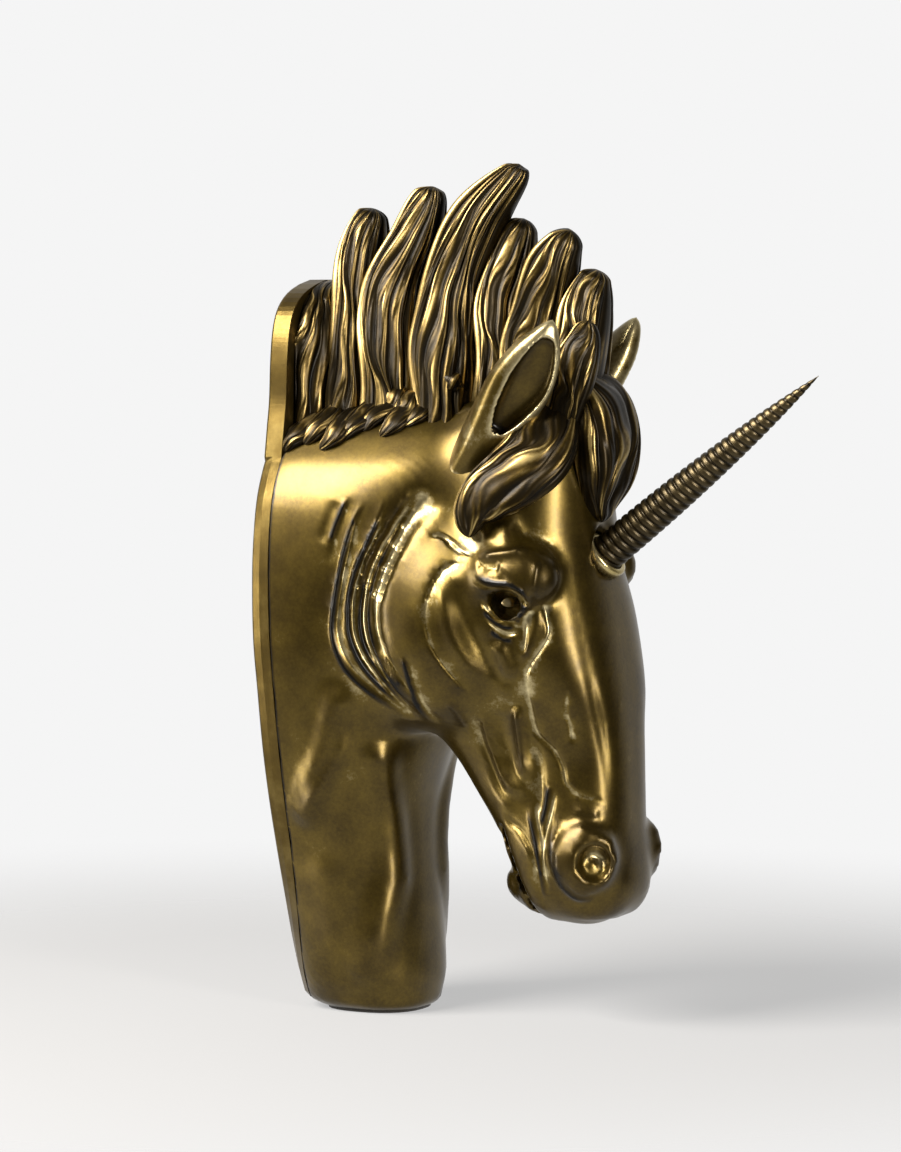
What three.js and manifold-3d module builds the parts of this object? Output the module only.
// Unicorn head and neck bust, wall-plaque type with a flat back, standing on its foot.
// A hollow moulded head-and-neck casting carries separately cast mane locks, forelocks,
// ears and glass-hard eyes. A ribbed horn plugs into a socket ring in the forehead.
// Millimetres. +X is the way the face points, +Z is up, and -Y is the animal's right side.
// The origin is the centre of the foot, on the surface that the felt pad stands on.
import * as THREE from 'three';
import { mergeVertices } from 'three/addons/utils/BufferGeometryUtils.js';
import Module from 'manifold-3d';

const wasm = await Module();
wasm.setup();

// Fits
const gap = 0.3; // clearance between two pieces that touch
const overshoot = 5; // how far a cut or a rib runs past the face it starts from
const beyond = 500; // reach of a cut that takes all that lies on one side of a plane

// Back board and casting shell
const wallX = -40; // plane of the flat back
const boardThickness = 12;
const rimX = wallX + boardThickness; // front of the board, where the casting's rim sits
const shellWall = 4.5; // neck wall
const headWall = 6; // thicker round the face, to hold the eyes and the horn
const footFloor = 7; // thickness of the casting under the ballast

// Flat of the foot, and the felt under it
const footBack = -27;
const footMiddle = 3;
const footFront = 33;
const footHalf = 29;
const footCurve = 3.5; // height over which the casting rounds out from that flat
const footSwell = { back: 9, middle: 1, front: 4, side: 5 }; // how far it rounds out
const feltThickness = 1.5;
const feltInset = 1.5; // how far the felt stays inside the foot's edge

// Ballast block
const ballastTop = 205;
const ballastWidth = 88;
const ballastFront = 22; // how far forward the block reaches

// Horn, its dowel and its socket ring
const hornBase = new THREE.Vector3(147.5, 0, 265.5);
const hornRise = 38.2; // degrees above level
const hornLength = 165;
const hornRadius = 10.6; // at the base
const hornTurns = 33; // turns of the spiral groove
const hornGroove = 0.8; // depth of the groove
const dowelRadius = 3;
const dowelInHorn = 22;
const dowelInSocket = 26;
const collarWidth = 3.4; // ring that shows round the horn's base
const collarHeight = 3;
const socketPlate = 3; // floor of the ring, which the horn stands on
const sleeveWall = 3.7; // tube round the dowel
const bossWall = 5; // casting left round the sleeve, inside the head

// Eyes
const eyeRadius = 11.5;
const eyePlace = new THREE.Vector3(113, 46.5, 241);

// Board screws
const screwRadius = 1.75;
const screwLength = 26;
const screwHeadRadius = 3.6;
const screwHeadHeight = 2.2;
const bossRadius = 6.5;
const bossDepth = 20; // how far each screw boss runs forward of the rim
const bossReach = 22; // length of the rib from a boss to the wall beside it
const bossWeb = 5; // thickness of the rib that ties a boss to the wall
const screwPlaces = [[21, 48], [54, 190], [49, 300]]; // distance from the middle, height

// Keyhole hanger, let into the back of the board
const hangerHeight = 346; // middle of the plate
const hangerWidth = 17;
const hangerTall = 46;
const hangerThickness = 1.6;
const keyRadius = 5.5; // round end, which a wall screw's head passes
const slotHalfWidth = 2.6;
const slotTop = 13; // how far the slot runs up from the plate's middle
const keyDrop = 5; // the round end's centre, below the plate's middle
const pocketDepth = 8; // room behind the plate for the wall screw's head
const hangerScrewRadius = 1.5;
const hangerScrewLength = 9;
const hangerScrewOffset = 18.5; // above and below the plate's middle
const hangerScrewHeights = [hangerHeight - hangerScrewOffset, hangerHeight + hangerScrewOffset];
const countersink = 1.4; // depth over which its head narrows

// Finishes
const castFinish = new THREE.MeshStandardMaterial({ color: 0x7d6a30, roughness: 0.38, metalness: 0.75 });
const maneFinish = new THREE.MeshStandardMaterial({ color: 0x5e4e1f, roughness: 0.36, metalness: 0.75 });
const eyeFinish = new THREE.MeshStandardMaterial({ color: 0x8a7338, roughness: 0.2, metalness: 0.8 });
const hornFinish = new THREE.MeshStandardMaterial({ color: 0x6b5a2c, roughness: 0.4, metalness: 0.75 });
const brassFinish = new THREE.MeshStandardMaterial({ color: 0x8d7a45, roughness: 0.35, metalness: 0.9 });
const steelFinish = new THREE.MeshStandardMaterial({ color: 0xa9abad, roughness: 0.4, metalness: 0.9 });
const ironFinish = new THREE.MeshStandardMaterial({ color: 0x3a3a3c, roughness: 0.7, metalness: 0.7 });
const boardFinish = new THREE.MeshStandardMaterial({ color: 0x8f7a3e, roughness: 0.42, metalness: 0.6 });
const feltFinish = new THREE.MeshStandardMaterial({ color: 0x2c2a26, roughness: 0.95, metalness: 0 });

const bust = new THREE.Group();

// Turns a closed three.js geometry into a solid that can be joined and cut.
function toSolid(geometry) {
  geometry.deleteAttribute('normal');
  geometry.deleteAttribute('uv');
  const merged = mergeVertices(geometry, 1e-5);
  return new wasm.Manifold(new wasm.Mesh({
    numProp: 3,
    vertProperties: Float32Array.from(merged.attributes.position.array),
    triVerts: Uint32Array.from(merged.index.array),
  }));
}

// Adds a solid to the bust as a named mesh, and keeps only its largest piece.
function place(name, solid, material) {
  const pieces = solid.decompose();
  const largest = pieces.reduce((a, b) => (b.volume() > a.volume() ? b : a));
  const data = largest.getMesh();
  const geometry = new THREE.BufferGeometry();
  const corners = new Float32Array(data.numVert * 3);
  for (let i = 0; i < data.numVert; i += 1) {
    corners.set(data.vertProperties.subarray(i * data.numProp, i * data.numProp + 3), i * 3);
  }
  geometry.setAttribute('position', new THREE.BufferAttribute(corners, 3));
  geometry.setIndex(new THREE.BufferAttribute(Uint32Array.from(data.triVerts), 1));
  geometry.computeVertexNormals();
  const mesh = new THREE.Mesh(geometry, material);
  mesh.name = name;
  bust.add(mesh);
  return largest;
}

// A closed skin over a stack of rings that have the same number of points.
function skin(rings) {
  const sides = rings[0].length;
  const points = rings.flat().map((p) => p.toArray()).flat();
  const faces = [];
  for (let r = 0; r + 1 < rings.length; r += 1) {
    for (let s = 0; s < sides; s += 1) {
      const a = r * sides + s;
      const b = r * sides + ((s + 1) % sides);
      faces.push(a, b, b + sides, a, b + sides, a + sides);
    }
  }
  const middle = (ring) => ring.reduce((m, p) => m.add(p), new THREE.Vector3()).divideScalar(sides);
  const last = (rings.length - 1) * sides;
  points.push(...middle(rings[0]).toArray(), ...middle(rings.at(-1)).toArray());
  for (let s = 0; s < sides; s += 1) {
    const next = (s + 1) % sides;
    faces.push(rings.length * sides, next, s);
    faces.push(rings.length * sides + 1, last + s, last + next);
  }
  const geometry = new THREE.BufferGeometry();
  geometry.setAttribute('position', new THREE.Float32BufferAttribute(points, 3));
  geometry.setIndex(faces);
  return toSolid(geometry);
}

// Reads a table of rows smoothly: the first column is the place, the rest are values.
function readTable(table, at) {
  let i = table.findIndex((row) => row[0] >= at);
  i = Math.min(Math.max(i, 1), table.length - 1);
  const slope = (j, c) => {
    const a = table[Math.max(j - 1, 0)];
    const b = table[Math.min(j + 1, table.length - 1)];
    return (b[c] - a[c]) / (b[0] - a[0]);
  };
  const [low, high] = [table[i - 1], table[i]];
  const span = high[0] - low[0];
  const t = (at - low[0]) / span;
  return low.slice(1).map((v, k) => {
    const c = k + 1;
    const rise = slope(i - 1, c) * span * t * (1 - t) * (1 - t);
    const fall = slope(i, c) * span * t * t * (t - 1);
    return v * (1 + 2 * t) * (1 - t) * (1 - t) + high[c] * t * t * (3 - 2 * t) + rise + fall;
  });
}

const power = (v, e) => Math.sign(v) * Math.abs(v) ** e;

// One level outline of the neck or head: a rounded box that may reach further one way.
function levelRing(z, back, middle, front, half, boxiness, sides) {
  const ring = [];
  for (let s = 0; s < sides; s += 1) {
    const turn = (s / sides) * 2 * Math.PI;
    const reach = Math.cos(turn) > 0 ? front - middle : middle - back;
    const x = middle + reach * power(Math.cos(turn), 2 / boxiness);
    ring.push(new THREE.Vector3(x, half * power(Math.sin(turn), 2 / boxiness), z));
  }
  return ring;
}

function boxBetween(low, high) {
  const geometry = new THREE.BoxGeometry(high[0] - low[0], high[1] - low[1], high[2] - low[2]);
  geometry.translate((low[0] + high[0]) / 2, (low[1] + high[1]) / 2, (low[2] + high[2]) / 2);
  return toSolid(geometry);
}

function ellipsoid(x, y, z, rx, ry, rz, sides = 20) {
  const geometry = new THREE.SphereGeometry(1, sides, Math.round(sides * 0.6));
  geometry.rotateX(Math.PI / 2);
  geometry.scale(rx, ry, rz);
  geometry.translate(x, y, z);
  return toSolid(geometry);
}

// A round solid from [radius, height] points, stood along a direction at a place.
function turned(profile, at, along, sides = 20) {
  const geometry = new THREE.LatheGeometry(profile.map(([r, h]) => new THREE.Vector2(r, h)), sides);
  const turn = new THREE.Quaternion().setFromUnitVectors(new THREE.Vector3(0, 1, 0), along);
  geometry.applyQuaternion(turn);
  geometry.translate(at.x, at.y, at.z);
  return toSolid(geometry);
}

// The same solid on the animal's other side.
function mirrored(solid) {
  const data = solid.getMesh();
  const corners = Float32Array.from(data.vertProperties);
  for (let i = 1; i < corners.length; i += data.numProp) {
    corners[i] = -corners[i];
  }
  const faces = Uint32Array.from(data.triVerts);
  for (let i = 0; i < faces.length; i += 3) {
    [faces[i], faces[i + 1]] = [faces[i + 1], faces[i]];
  }
  return new wasm.Manifold(new wasm.Mesh({ numProp: 3, vertProperties: corners, triVerts: faces }));
}
const bothSides = (solid) => solid.add(mirrored(solid));

// Neck: height, half width at its widest, middle, front, half width where it meets the wall.
const neckTable = [
  [9, 35.5, 0, 37.5, 6],
  [15, 38.6, -0.4, 38.6, 12.1],
  [22, 41, -1, 39, 18],
  [41, 44, -3, 37.5, 27],
  [63, 46, -6, 36, 35],
  [93, 50, -12, 33.5, 45],
  [123, 56.5, -18, 34, 54],
  [152, 62.5, -24, 42, 61],
  [187, 68.5, -28, 56, 67],
  [216, 72.5, -30, 68, 71.5],
  [250, 74, -30, 82, 72.4],
  [272, 73, -28, 90, 71],
  [295, 69.5, -24, 98, 67],
  [312, 63, -16, 102, 60],
  [326, 53, -8, 102, 51],
  [338, 42, -2, 98, 40],
  [347, 29, 0, 88, 27],
  [352, 12, -4, 60, 10],
];
const neckBoxiness = 2.4;
const crownFrom = 300; // above this the neck closes over, so a thicker wall also rises

// The neck's outer form. A positive grow thickens it, a negative one makes the hollow.
function neckForm(grow, sides, floor) {
  const rings = [];
  const add = (z, back, middle, front, half) => {
    rings.push(levelRing(z, back - grow, middle, front + grow, half + grow, neckBoxiness, sides));
  };
  add(floor, footBack, footMiddle, footFront, footHalf);
  add(
    floor + footCurve,
    footBack - footSwell.back,
    footMiddle - footSwell.middle,
    footFront + footSwell.front,
    footHalf + footSwell.side,
  );
  for (const [z, half, middle, front, wallHalf] of neckTable) {
    if (z > floor + footCurve) {
      const share = (1 - (wallHalf / half) ** neckBoxiness) ** (1 / neckBoxiness);
      const back = middle - (middle - wallX) / share;
      add(z > crownFrom ? z + grow : z, back, middle, front, half);
    }
  }
  return skin(rings);
}

// Head: height, front, back, half width, and how boxy it is: the nose is flatter than the skull.
const headTable = [
  [60, 150, 116, 20, 2.5],
  [66, 163, 104, 28, 2.5],
  [78, 170, 98, 35, 2.5],
  [97, 169.5, 93, 38, 2.6],
  [112, 167, 87, 36, 2.9],
  [130, 166.5, 75, 34, 3.2],
  [150, 166, 61, 34, 3.4],
  [170, 165, 43, 38, 3.4],
  [190, 164, 28, 45, 3.3],
  [210, 161, 15, 51, 3.1],
  [235, 156.5, 8, 55, 2.8],
  [262, 150, 10, 55, 2.5],
  [290, 146.5, 25, 50, 2.5],
  [315, 144, 42, 45, 2.5],
  [338, 136, 60, 38, 2.5],
  [355, 122, 75, 27, 2.5],
  [363, 106, 88, 10, 2.5],
];
const pollFrom = 340; // above this the head closes over
const chinBelow = 70; // below this it closes under
const hollowFrom = 128; // the muzzle below this has a small core of its own
const hollowTo = 345;

function headForm(grow, sides, rows = headTable) {
  return skin(rows.map(([z, front, back, half, boxiness]) => {
    const middle = (front + back) / 2;
    const rise = Number(z > pollFrom) - Number(z < chinBelow);
    return levelRing(z + rise * grow, back - grow, middle, front + grow, half + grow, boxiness, sides);
  }));
}

// The swells of the face, each mirrored: brow, cheek, nostril wing, muzzle and chin. Each row is
// a middle, three half sizes and how many sides round it the facets have.
const swells = [
  [118, 49, 256, 31, 17, 20, 14],
  [52, 36, 228, 58, 34, 61, 16],
  [150, 27, 97, 17, 16, 20, 12],
  [144, 12, 77, 20, 19, 17, 12],
  [106, 6, 80, 15, 17, 14, 12],
];

// Rolls of the face, mirrored: crest of the cheek, two cheek muscles, brow, temple and upper lid.
// Each is a radius and the line that its middle follows.
const rolls = [
  [7, [83, 54.6, 254], [93.4, 54.7, 228], [101.3, 43.4, 203], [108.5, 40.5, 192]],
  [7, [102, 36, 181], [99.5, 32.5, 169], [104.8, 29.5, 153], [109, 29, 137]],
  [5, [83, 35, 175], [88, 31, 159], [94.5, 28.5, 142], [102, 29, 125]],
  [8.5, [108, 42.5, 286], [111, 49.5, 274]],
  [8, [112, 48, 275], [119, 44, 280]],
  [5, [89.5, 46.5, 289], [90, 48.5, 280], [94, 50.5, 267]],
  [3.2, [96, 57, 252.5], [107.5, 60.6, 249.5], [116, 61.2, 247.5], [124, 58.5, 240]],
];

// The groove behind the jowl, in the same form.
const grooves = [
  [
    6, [61, 56.5, 296], [50, 60.5, 283], [41, 64.5, 267], [31, 69.5, 239], [32, 70, 222],
    [36, 68.5, 205], [43, 65.5, 191], [51, 59.5, 178],
  ],
];
const rollSides = 8;

// Hollows: each is a middle and three half sizes, and is mirrored too.
const eyeOpening = [114, 66, 240, 13, 12, 7.5];
const nostril = [160, 43, 97, 9, 10, 11];
const muzzleCore = [140, 0, 106, 17, 21, 34];
const mouthGap = 3;
const mouthDeep = 120; // wider than the muzzle, so the slit shows on both sides
const mouthLength = 60;
const mouthSlope = -22; // degrees that the lips' line leans forward as it goes down
const mouthMiddle = [107.5, 85];

const outerSides = 22; // facets round the outer form
const innerSides = 14; // facets round the hollow, which isn't seen
const cutSides = 16; // facets round the smaller cuts
const socketSides = 24; // facets round the seats of the eyes
const boardSides = 20;

// A roll of one radius that follows a line of points.
function rollForm([radius, ...line], grow) {
  const balls = line.map((at) => wasm.Manifold.sphere(radius + grow, rollSides).translate(at));
  const links = balls.slice(1).map((ball, i) => wasm.Manifold.hull([balls[i], ball]));
  return wasm.Manifold.union(links);
}

function faceForm(grow) {
  let form = neckForm(grow, outerSides, feltThickness).add(headForm(grow, outerSides));
  for (const [x, y, z, rx, ry, rz, sides] of swells) {
    form = form.add(bothSides(ellipsoid(x, y, z, rx + grow, ry + grow, rz + grow, sides)));
  }
  for (const groove of grooves) {
    form = form.subtract(bothSides(rollForm(groove, -grow)));
  }
  for (const roll of rolls) {
    form = form.add(bothSides(rollForm(roll, grow)));
  }
  return form;
}

// Horn axis and the pieces on it.
const hornAngle = THREE.MathUtils.degToRad(hornRise);
const hornAxis = new THREE.Vector3(Math.cos(hornAngle), 0, Math.sin(hornAngle));
const alongHorn = (d) => hornBase.clone().addScaledVector(hornAxis, d);

// Straight tapering horn with one spiral groove, and a blind bore for its dowel.
function hornForm() {
  const sides = 8;
  const ringsPerTurn = 3;
  const count = hornTurns * ringsPerTurn;
  const side = new THREE.Vector3(0, 1, 0);
  const up = new THREE.Vector3().crossVectors(hornAxis, side);
  const rings = [];
  for (let r = 0; r <= count; r += 1) {
    const t = r / count;
    const taper = Math.max(0.06, (1 - t ** 2.1) ** 0.85);
    const fade = Math.min(1, r / ringsPerTurn, (count - r) / ringsPerTurn);
    const ring = [];
    for (let s = 0; s < sides; s += 1) {
      const turn = (s / sides) * 2 * Math.PI;
      const wave = 0.5 - 0.5 * Math.cos(turn - t * hornTurns * 2 * Math.PI);
      const radius = hornRadius * taper - hornGroove * taper * fade * wave;
      const at = alongHorn(t * hornLength);
      at.addScaledVector(side, radius * Math.cos(turn)).addScaledVector(up, radius * Math.sin(turn));
      ring.push(at);
    }
    rings.push(ring);
  }
  const bore = dowelRadius + gap;
  const end = dowelInHorn + gap;
  const hole = [[0, -overshoot], [bore, -overshoot], [bore, end], [0, end]];
  return skin(rings).subtract(turned(hole, alongHorn(0), hornAxis));
}

// Socket ring: a collar round the horn, a plate under it and a sleeve that holds the dowel.
const collarInner = hornRadius + gap;
const collarOuter = collarInner + collarWidth;
const sleeveOuter = dowelRadius + gap + sleeveWall;
const plateTop = -gap;
const plateFoot = plateTop - socketPlate;
const sleeveFoot = plateTop - gap - dowelInSocket;
const clearAbove = 35; // open way over the collar, for the horn to lift out

function socketForm(grow) {
  const lip = plateTop + collarHeight + (grow > 0 ? clearAbove : 0);
  const outside = [
    [0, sleeveFoot - grow],
    [sleeveOuter + grow, sleeveFoot - grow],
    [sleeveOuter + grow, plateFoot - grow],
    [collarOuter + grow, plateFoot - grow],
    [collarOuter + grow, lip],
    [0, lip],
  ];
  return turned(outside, alongHorn(0), hornAxis, 20);
}

function socketRing() {
  const lip = plateTop + collarHeight;
  const above = lip + overshoot;
  const below = sleeveFoot - overshoot;
  const well = [[0, plateTop], [collarInner, plateTop], [collarInner, above], [0, above]];
  const bore = dowelRadius + gap;
  const through = [[0, below], [bore, below], [bore, lip], [0, lip]];
  return socketForm(0)
    .subtract(turned(well, alongHorn(0), hornAxis, 20))
    .subtract(turned(through, alongHorn(0), hornAxis, 20));
}

// Casting: outer form, less the hollow, the seats of the eyes and of the socket, and the bores.
const toFront = new THREE.Vector3(1, 0, 0);
const screws = screwPlaces.flatMap(([y, z]) => [[-y, z], [y, z]]);

function hollowForm(extra) {
  const neck = neckForm(-shellWall - extra, innerSides, feltThickness + footFloor + extra);
  const rows = headTable.filter(([z]) => z > hollowFrom && z < hollowTo);
  const head = headForm(-headWall - extra, innerSides, rows);
  return neck.add(head).add(ellipsoid(...muzzleCore, innerSides));
}

function screwHole(y, z) {
  const radius = screwRadius + gap;
  const end = screwLength + gap;
  const profile = [
    [0, -overshoot],
    [screwHeadRadius + gap, -overshoot],
    [screwHeadRadius + gap, gap],
    [radius, screwHeadHeight + gap],
    [radius, end],
    [0, end],
  ];
  return turned(profile, new THREE.Vector3(wallX, y, z), toFront, 14);
}

// Post for one board screw, with the rib that ties it to the wall beside it.
function screwPost(y, z, grow) {
  const radius = bossRadius + grow;
  const depth = bossDepth + grow;
  const profile = [[0, -overshoot], [radius, -overshoot], [radius, depth], [0, depth]];
  const post = turned(profile, new THREE.Vector3(rimX, y, z), toFront, 12);
  const half = bossWeb / 2 + grow;
  const edges = [y, y + Math.sign(y) * bossReach].sort((a, b) => a - b);
  const rib = boxBetween([rimX - overshoot, edges[0], z - half], [rimX + depth, edges[1], z + half]);
  return post.add(rib);
}

function castingForm() {
  const boss = sleeveOuter + gap + bossWall;
  const low = sleeveFoot - gap - bossWall;
  const high = headWall + overshoot;
  let hollow = hollowForm(0);
  const sleeveBoss = turned([[0, low], [boss, low], [boss, high], [0, high]], alongHorn(0), hornAxis);
  hollow = hollow.subtract(sleeveBoss);
  const seat = eyeRadius + gap + bossWall;
  const eyeAt = [eyePlace.x, eyePlace.y, eyePlace.z];
  hollow = hollow.subtract(bothSides(ellipsoid(...eyeAt, seat, seat, seat, innerSides)));
  for (const [y, z] of screws) {
    hollow = hollow.subtract(screwPost(y, z, 0));
  }
  let cast = faceForm(0).subtract(hollow);
  cast = cast.subtract(boxBetween([-beyond, -beyond, -beyond], [rimX, beyond, beyond]));
  const socket = eyeRadius + gap;
  cast = cast.subtract(bothSides(ellipsoid(...eyeAt, socket, socket, socket, socketSides)));
  cast = cast.subtract(socketForm(gap));
  cast = cast.subtract(bothSides(ellipsoid(...eyeOpening, cutSides)));
  cast = cast.subtract(bothSides(ellipsoid(...nostril, cutSides)));
  const mouth = new THREE.BoxGeometry(mouthGap, mouthDeep, mouthLength);
  mouth.rotateY(THREE.MathUtils.degToRad(mouthSlope));
  mouth.translate(mouthMiddle[0], 0, mouthMiddle[1]);
  cast = cast.subtract(toSolid(mouth));
  for (const [y, z] of screws) {
    cast = cast.subtract(screwHole(y, z));
  }
  return cast;
}

// Back board: the neck's own outline, carried on up behind the mane.
const crestTable = [
  [318, 58.5],
  [336, 55.5],
  [351, 53],
  [374, 51.5],
  [392, 48.5],
  [403, 43],
  [411, 33],
  [416, 20],
  [419, 7],
];

const crestReach = 25; // how far the crest's outline runs past the slab before it is trimmed
const crestBoxiness = 8;

function boardForm() {
  const rings = crestTable.map(([z, half]) => levelRing(
    z,
    wallX - crestReach,
    wallX + boardThickness / 2,
    rimX + crestReach,
    half,
    crestBoxiness,
    boardSides,
  ));
  let board = neckForm(0, boardSides, feltThickness).add(skin(rings));
  board = board.intersect(boxBetween([wallX, -beyond, -beyond], [rimX - gap, beyond, beyond]));
  for (const [y, z] of screws) {
    board = board.subtract(screwHole(y, z));
  }
  const [w, t] = [hangerWidth / 2 + gap, hangerTall / 2 + gap];
  const recess = hangerThickness + gap;
  const behind = wallX - overshoot;
  board = board.subtract(boxBetween([behind, -w, hangerHeight - t], [wallX + recess, w, hangerHeight + t]));
  const pocketLow = hangerHeight - keyDrop - keyRadius;
  const pocketHigh = hangerHeight + slotTop + slotHalfWidth;
  board = board.subtract(boxBetween(
    [behind, -keyRadius, pocketLow],
    [wallX + pocketDepth, keyRadius, pocketHigh],
  ));
  for (const z of hangerScrewHeights) {
    board = board.subtract(hangerScrew(z, gap));
  }
  return board;
}

// Small countersunk screw that holds the hanger plate.
function hangerScrew(z, grow) {
  const head = hangerScrewRadius * 2;
  const top = grow > 0 ? -overshoot : 0;
  const profile = [
    [0, top],
    [head + grow, top],
    [head + grow, grow],
    [hangerScrewRadius + grow, countersink + grow],
    [hangerScrewRadius + grow, hangerScrewLength + grow],
    [0, hangerScrewLength + grow],
  ];
  return turned(profile, new THREE.Vector3(wallX, 0, z), toFront, 14);
}

// Flat steel plate with a keyhole, flush with the back of the board.
function hangerPlate() {
  const [w, t] = [hangerWidth / 2, hangerTall / 2];
  const outline = new THREE.Shape();
  outline.moveTo(-w, -t).lineTo(w, -t).lineTo(w, t).lineTo(-w, t).closePath();
  const key = new THREE.Path();
  const neckAngle = Math.asin(slotHalfWidth / keyRadius);
  key.absarc(0, -keyDrop, keyRadius, Math.PI / 2 + neckAngle, Math.PI * 2.5 - neckAngle, false);
  key.absarc(0, slotTop, slotHalfWidth, 0, Math.PI, false);
  outline.holes.push(key);
  const options = { depth: hangerThickness, bevelEnabled: false, curveSegments: 8 };
  const geometry = new THREE.ExtrudeGeometry(outline, options);
  geometry.rotateX(Math.PI / 2);
  geometry.rotateZ(Math.PI / 2);
  geometry.translate(wallX, 0, hangerHeight);
  let plate = toSolid(geometry);
  for (const z of hangerScrewHeights) {
    plate = plate.subtract(hangerScrew(z, gap));
  }
  return plate;
}

// The lines of hair on each side of a lock, from its back edge (0) to its front edge (1): the
// place of a line and how far it stands out. A rolled edge leads, and strands follow it. The
// waves in the loop make the strands uneven in width, height and depth, as if cut by hand.
const edgeFoot = 0.15; // where the rolled edge rises
const edgePlace = 0.22; // its middle
const edgeHeight = 2;
const strandsFrom = 0.285; // the groove between it and the strands
const strandsTo = 0.88;
const strandDepth = 2.4; // depth of the grooves between strands

function strandLines(count, turn, rolled) {
  const start = rolled ? strandsFrom : 0;
  const pitch = (strandsTo - start) / count;
  const lines = rolled
    ? [[0, 0], [edgeFoot, 0], [edgePlace, edgeHeight], [strandsFrom, -strandDepth]]
    : [[0, 0]];
  for (let k = 0; k < count; k += 1) {
    const uneven = 0.5 + 0.15 * Math.sin(2.4 * k + 1.7 * turn);
    lines.push([start + (k + uneven) * pitch, 0.5 + 0.5 * Math.sin(1.9 * k + turn)]);
    lines.push([start + (k + 1) * pitch, -strandDepth * (0.8 + 0.2 * Math.cos(2.7 * k + turn))]);
  }
  lines.push([1, 0]);
  return lines;
}

// A lock of hair: sections along a path. Each row is x, y, z, half width along the path's side
// and half thickness. The side is the direction in which the thickness is measured, the hair is
// its strand lines, and the turn sets where they sway.
const lockRoundness = 0.77;
const lockTip = 0.5; // least half size, at the tip
const lockLean = 0.28; // how much thinner a mane lock is at its front edge
const strandSway = 0.04; // how far the strands wander round the lock
const swayTurns = 1.3; // sways from root to tip
const swayLag = 0.9; // how far the sway trails from the back edge to the front edge
const edgeWave = 2; // sideways waves of the leading edge
const edgeWaves = 2.3;
const fullGirth = 45; // a lock this size has strands of the full depth
const girthRange = [0.35, 1.15];

const hairOf = (count, turn, rolled) => ({ lines: strandLines(count, turn, rolled), turn, rolled });
const smooth = { lines: [0, 1, 2, 3, 4, 5, 6].map((i) => [i / 6, 0]), turn: 0, rolled: false };

function lockForm(rows, side, { lines, turn, rolled }, grow = 0) {
  const ringCount = (rows.length - 1) * 2;
  const table = rows.map((row, i) => [i, ...row]);
  const rings = [];
  for (let r = 0; r <= ringCount; r += 1) {
    const share = r / ringCount;
    const at = share * (rows.length - 1);
    const [x, y, z, wide, thick] = readTable(table, at);
    const [x0, y0, z0] = readTable(table, Math.max(at - 0.1, 0));
    const [x1, y1, z1] = readTable(table, Math.min(at + 0.1, rows.length - 1));
    const along = new THREE.Vector3(x1 - x0, y1 - y0, z1 - z0).normalize();
    const deep = side.clone().addScaledVector(along, -side.dot(along)).normalize();
    const across = new THREE.Vector3().crossVectors(deep, along);
    const w = Math.max(wide, lockTip);
    const t = Math.max(thick, lockTip);
    const girth = THREE.MathUtils.clamp((w + t) / fullGirth, ...girthRange);
    const wave = rolled ? edgeWave * girth * Math.sin(2 * Math.PI * (edgeWaves * share + turn)) : 0;
    const corner = ([base, height], way) => {
      const wander = Math.sin(2 * Math.PI * (swayTurns * share + swayLag * base + turn));
      const round = base + strandSway * wander * Math.sin(Math.PI * base);
      const angle = Math.PI * (1 + way * round);
      const [c, n] = [Math.cos(angle), Math.sin(angle)];
      const push = (height * girth + grow) / Math.hypot(c * t, n * w);
      const lean = rolled ? 1 - (lockLean * (1 + c)) / 2 : 1;
      const a = w * power(c, lockRoundness) + push * c * t + wave * Math.max(-c, 0);
      const b = (t * power(n, lockRoundness) + push * n * w) * lean;
      return new THREE.Vector3(x, y, z).addScaledVector(across, a).addScaledVector(deep, b);
    };
    const near = lines.slice(1, -1).map((line) => corner(line, 1));
    const far = lines.toReversed().map((line) => corner(line, -1));
    rings.push([...far, ...near]);
  }
  return skin(rings);
}

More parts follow.
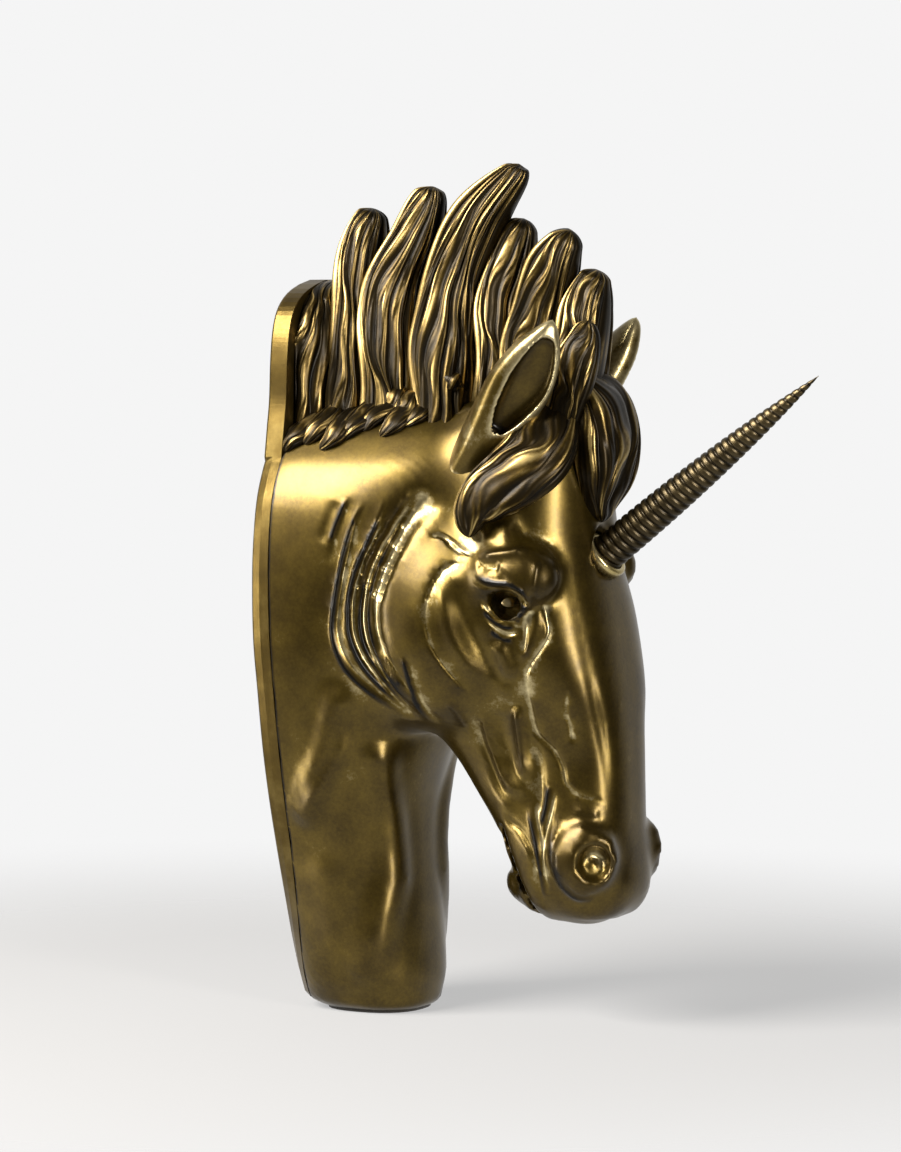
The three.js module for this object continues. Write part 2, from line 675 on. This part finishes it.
// Mane locks from the back of the neck to the poll: x, y, z, half width, half thickness.
const maneLocks = [
  [
    [-26, 0, 312, 16, 52], [-26, 0, 350, 16, 50], [-25, 0, 384, 15, 48], [-25, 0, 403, 13, 40],
    [-25, 0, 413, 11, 27], [-25, 0, 419, 7, 10],
  ],
  [
    [-1, 0, 314, 12, 46], [-2, 0, 350, 13, 42], [-4, 0, 384, 13, 37], [-5, 0, 416, 12, 28],
    [-4, 0, 442, 11, 18], [-2, 0, 455, 9, 11], [-1, 0, 460, 4, 5],
  ],
  [
    [24, 0, 320, 18, 45], [22, 0, 352, 18, 41], [19, 0, 385, 17, 36], [19, 0, 417, 15, 28],
    [29, 0, 446, 13, 19], [37, 0, 466, 9, 10], [39, 0, 472, 4, 4],
  ],
  [
    [59, 0, 325, 18, 43], [57, 0, 354, 18, 39], [54, 0, 388, 18, 34], [55, 0, 420, 17, 26],
    [69, 0, 453, 15, 18], [90, 0, 478, 9, 9], [94, 0, 484, 4, 4],
  ],
  [
    [88, 2, 325, 12, 38], [87, 2, 356, 12, 33], [85, 3, 384, 13, 27], [84, 5, 410, 13, 21],
    [87, 8, 436, 12, 14], [91, 10, 454, 8, 7],
  ],
  [
    [106, 0, 330, 12, 34], [105, 0, 356, 14, 30], [107, -1, 382, 15, 26], [111, -3, 406, 15, 22],
    [121, -7, 430, 13, 15], [131, -10, 447, 8, 7],
  ],
  [
    [128, 0, 332, 11, 28], [130, 0, 354, 12, 26], [133, 0, 376, 13, 24], [136, 0, 396, 13, 20],
    [139, 0, 414, 11, 14], [143, 0, 425, 7, 7],
  ],
  [
    [134, -26, 338, 8, 8], [137, -26, 352, 11, 10], [141, -25, 366, 12, 11], [144, -23, 380, 11, 10],
    [146, -21, 390, 8, 7], [147, -20, 397, 3, 3],
  ],
];

const maneStrands = [5, 5, 5, 6, 4, 4, 4, 3]; // strands on each side of each lock
const turnBetween = 0.37; // so that no two locks sway alike
const maneHair = maneStrands.map((count, i) => hairOf(count, i * turnBetween, true));

// Forelocks fall from the poll over the brow: one down the middle, one swept to each side.
const middleHair = hairOf(5, 0.2, false);
const sideHair = hairOf(4, 0.6, false);
const forelockMiddle = [
  [115, 0, 361, 20, 9], [131, 0, 359, 24, 13], [143, 0, 349, 26, 14], [148, -1, 332, 26, 14],
  [149, -3, 312, 23, 12], [147, -4, 296, 15, 8], [147, -4, 284, 5, 4],
];
const forelockRight = [
  [122, -20, 354, 12, 7], [128, -31, 340, 17, 9], [127, -42, 324, 20, 10], [116, -50, 311, 19, 10],
  [103, -55, 301, 16, 9], [94, -58, 290, 11, 7], [93, -61, 277, 4, 4],
];

// Ears: an upright leaf with a cup that faces forward and out.
const earRows = [
  [76, -36, 312, 10, 10], [89, -40, 327, 13, 12], [104, -45, 344, 16, 12], [119, -49, 362, 18, 10],
  [131, -52, 379, 14, 8], [138, -53, 391, 7, 5], [141, -53, 398, 1.5, 1.5],
];
const earCup = [
  [103.3, -49.3, 336, 4, 4], [114, -52, 347, 9, 7.5], [127.5, -55, 362, 12, 8],
  [136.7, -57, 378, 8.5, 6], [140.7, -56.4, 388, 3.5, 3],
];

const earOpening = new THREE.Vector3(0.6, -0.78, -0.15).normalize();
const acrossHead = new THREE.Vector3(0, 1, 0);
const awayFromBrow = new THREE.Vector3(0.8, 0, 0.6);
const awayFromTemple = new THREE.Vector3(0.35, -0.85, 0.4).normalize();

place('head_and_neck', castingForm(), castFinish);
place('back_board', boardForm(), boardFinish);

// What the loose castings are cut by, so that each one sits on the shell.
const behindRim = boxBetween([-beyond, -beyond, -beyond], [rimX, beyond, beyond]);
const shellSeat = faceForm(gap).add(behindRim);

const earLeaf = lockForm(earRows, earOpening, smooth).subtract(lockForm(earCup, earOpening, smooth));
const rightEar = place('ear_right', earLeaf.subtract(shellSeat), castFinish);
place('ear_left', mirrored(rightEar), castFinish);
const sweptLock = lockForm(forelockRight, awayFromTemple, sideHair)
  .subtract(shellSeat)
  .subtract(lockForm(earRows, earOpening, smooth, gap));
const rightForelock = place('forelock_right', sweptLock, maneFinish);
place('forelock_left', mirrored(rightForelock), maneFinish);
const sideForelocks = bothSides(lockForm(forelockRight, awayFromTemple, sideHair, gap));
const ears = bothSides(lockForm(earRows, earOpening, smooth, gap));
const middleSeat = shellSeat.add(sideForelocks).add(ears).add(socketForm(gap));
const frontLock = lockForm(forelockMiddle, awayFromBrow, middleHair).subtract(middleSeat);
place('forelock_middle', frontLock, maneFinish);

// Each mane lock is trimmed by those that are placed before it.
let neighbours = shellSeat.add(sideForelocks).add(ears);
neighbours = neighbours.add(lockForm(forelockMiddle, awayFromBrow, middleHair, gap));
const trimOrder = [7, 6, 5, 3, 4, 2, 1, 0];
for (const i of trimOrder) {
  const lock = lockForm(maneLocks[i], acrossHead, maneHair[i]).subtract(neighbours);
  place(`mane_lock_${i + 1}`, lock, maneFinish);
  neighbours = neighbours.add(lockForm(maneLocks[i], acrossHead, maneHair[i], gap));
}

const eye = ellipsoid(eyePlace.x, eyePlace.y, eyePlace.z, eyeRadius, eyeRadius, eyeRadius, 14);
place('eye_left', eye, eyeFinish);
place('eye_right', mirrored(eye), eyeFinish);

place('horn', hornForm(), hornFinish);
place('horn_socket', socketRing(), brassFinish);
const dowel = [
  [0, sleeveFoot + gap],
  [dowelRadius, sleeveFoot + gap],
  [dowelRadius, dowelInHorn],
  [0, dowelInHorn],
];
place('horn_dowel', turned(dowel, alongHorn(0), hornAxis, 16), steelFinish);

// Cast-iron block low in the neck, which keeps the forward-heavy bust on its foot.
const ballastLow = [rimX + gap, -ballastWidth / 2, 0];
const ballastBox = boxBetween(ballastLow, [ballastFront, ballastWidth / 2, ballastTop]);
let ballast = hollowForm(gap).intersect(ballastBox);
for (const [y, z] of screws) {
  ballast = ballast.subtract(screwPost(y, z, gap));
}
place('ballast_block', ballast, ironFinish);

// Felt pad under the foot.
const feltRings = [0, feltThickness].map((z) => levelRing(
  z,
  footBack + feltInset,
  footMiddle,
  footFront - feltInset,
  footHalf - feltInset,
  neckBoxiness,
  28,
));
place('foot_felt', skin(feltRings), feltFinish);

const boardScrew = [
  [0, 0],
  [screwHeadRadius, 0],
  [screwRadius, screwHeadHeight],
  [screwRadius, screwLength],
  [0, screwLength],
];
screws.forEach(([y, z], i) => {
  const at = new THREE.Vector3(wallX, y, z);
  place(`board_screw_${i + 1}`, turned(boardScrew, at, toFront, 14), steelFinish);
});
place('hanger_plate', hangerPlate(), steelFinish);
hangerScrewHeights.forEach((z, i) => {
  place(`hanger_screw_${i + 1}`, hangerScrew(z, 0), steelFinish);
});

export default bust;
